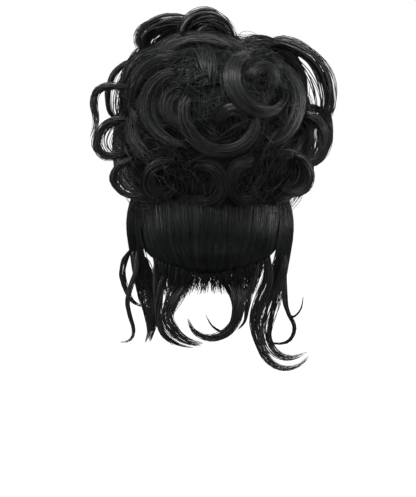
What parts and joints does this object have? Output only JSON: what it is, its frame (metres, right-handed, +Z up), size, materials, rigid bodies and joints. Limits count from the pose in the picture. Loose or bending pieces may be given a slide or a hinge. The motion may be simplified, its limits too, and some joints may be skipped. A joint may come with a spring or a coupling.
{
  "type": "updo wig",
  "caption": "Updo wig: a hollow cap with a smooth swept-up back, a high pile of swirled curls and loops, and loose tendrils at the sides and nape.",
  "frame": {"origin": "inside the hollow, where the crown of the head touches the cap", "axes": "+Z up out of the crown, +Y to the front, +X to the right as worn"},
  "size_m": [0.2694, 0.2442, 0.3946],
  "materials": {
    "curled_hair": "soft satin synthetic fibre",
    "smooth_hair": "combed satin synthetic fibre"
  },
  "bodies": {
    "root": {"cap": "smooth_hair", "back_sweep": "smooth_hair", "side_sweep_right": "smooth_hair", "side_sweep_left": "smooth_hair", "pile_core": "curled_hair", "curl_rosette_ring": "curled_hair", "curl_rosette_heart": "curled_hair", "curl_centre_hook": "curled_hair", "curl_left_crescent": "curled_hair", "curl_centre_fall": "curled_hair", "curl_rosette_outer": "curled_hair", "curl_centre_swirl": "curled_hair", "curl_left_inner": "curled_hair", "curl_crown_arch": "curled_hair", "curl_crown_right": "curled_hair", "curl_right_fall": "curled_hair", "curl_brow_inner": "curled_hair", "curl_brow_outer": "curled_hair", "curl_left_middle": "curled_hair", "curl_left_outer": "curled_hair", "curl_low_left": "curled_hair", "curl_low_middle": "curled_hair", "curl_low_inner": "curled_hair", "curl_low_right": "curled_hair", "curl_right_side": "curled_hair", "curl_right_temple": "curled_hair", "curl_left_side": "curled_hair", "curl_left_temple": "curled_hair", "curl_front_right": "curled_hair", "curl_front_left": "curled_hair", "curl_forecrown": "curled_hair", "curl_crown_left": "curled_hair", "top_roll": "curled_hair", "top_roll_heart": "curled_hair", "top_sweep": "curled_hair", "loop_shoulder": "curled_hair", "loop_right_high": "curled_hair", "loop_right_low": "curled_hair", "loop_right_curl": "curled_hair", "loop_left_wing": "curled_hair", "loop_left_brow": "curled_hair", "loop_left_ring": "curled_hair", "loop_left_low": "curled_hair", "tendril_left_straight": "curled_hair", "tendril_left_bow": "curled_hair", "tendril_left_curl": "curled_hair", "tendril_left_inner": "curled_hair", "tendril_left_front": "curled_hair", "tendril_right_hook_high": "curled_hair", "tendril_right_hook_low": "curled_hair", "tendril_right_inner": "curled_hair", "tendril_right_loop": "curled_hair", "tendril_right_wisp": "curled_hair", "nape_left_sweep": "curled_hair", "nape_left_strand": "curled_hair", "nape_right_sweep": "curled_hair", "nape_middle_hook": "curled_hair", "nape_right_strand": "curled_hair"}
  },
  "joints": []
}
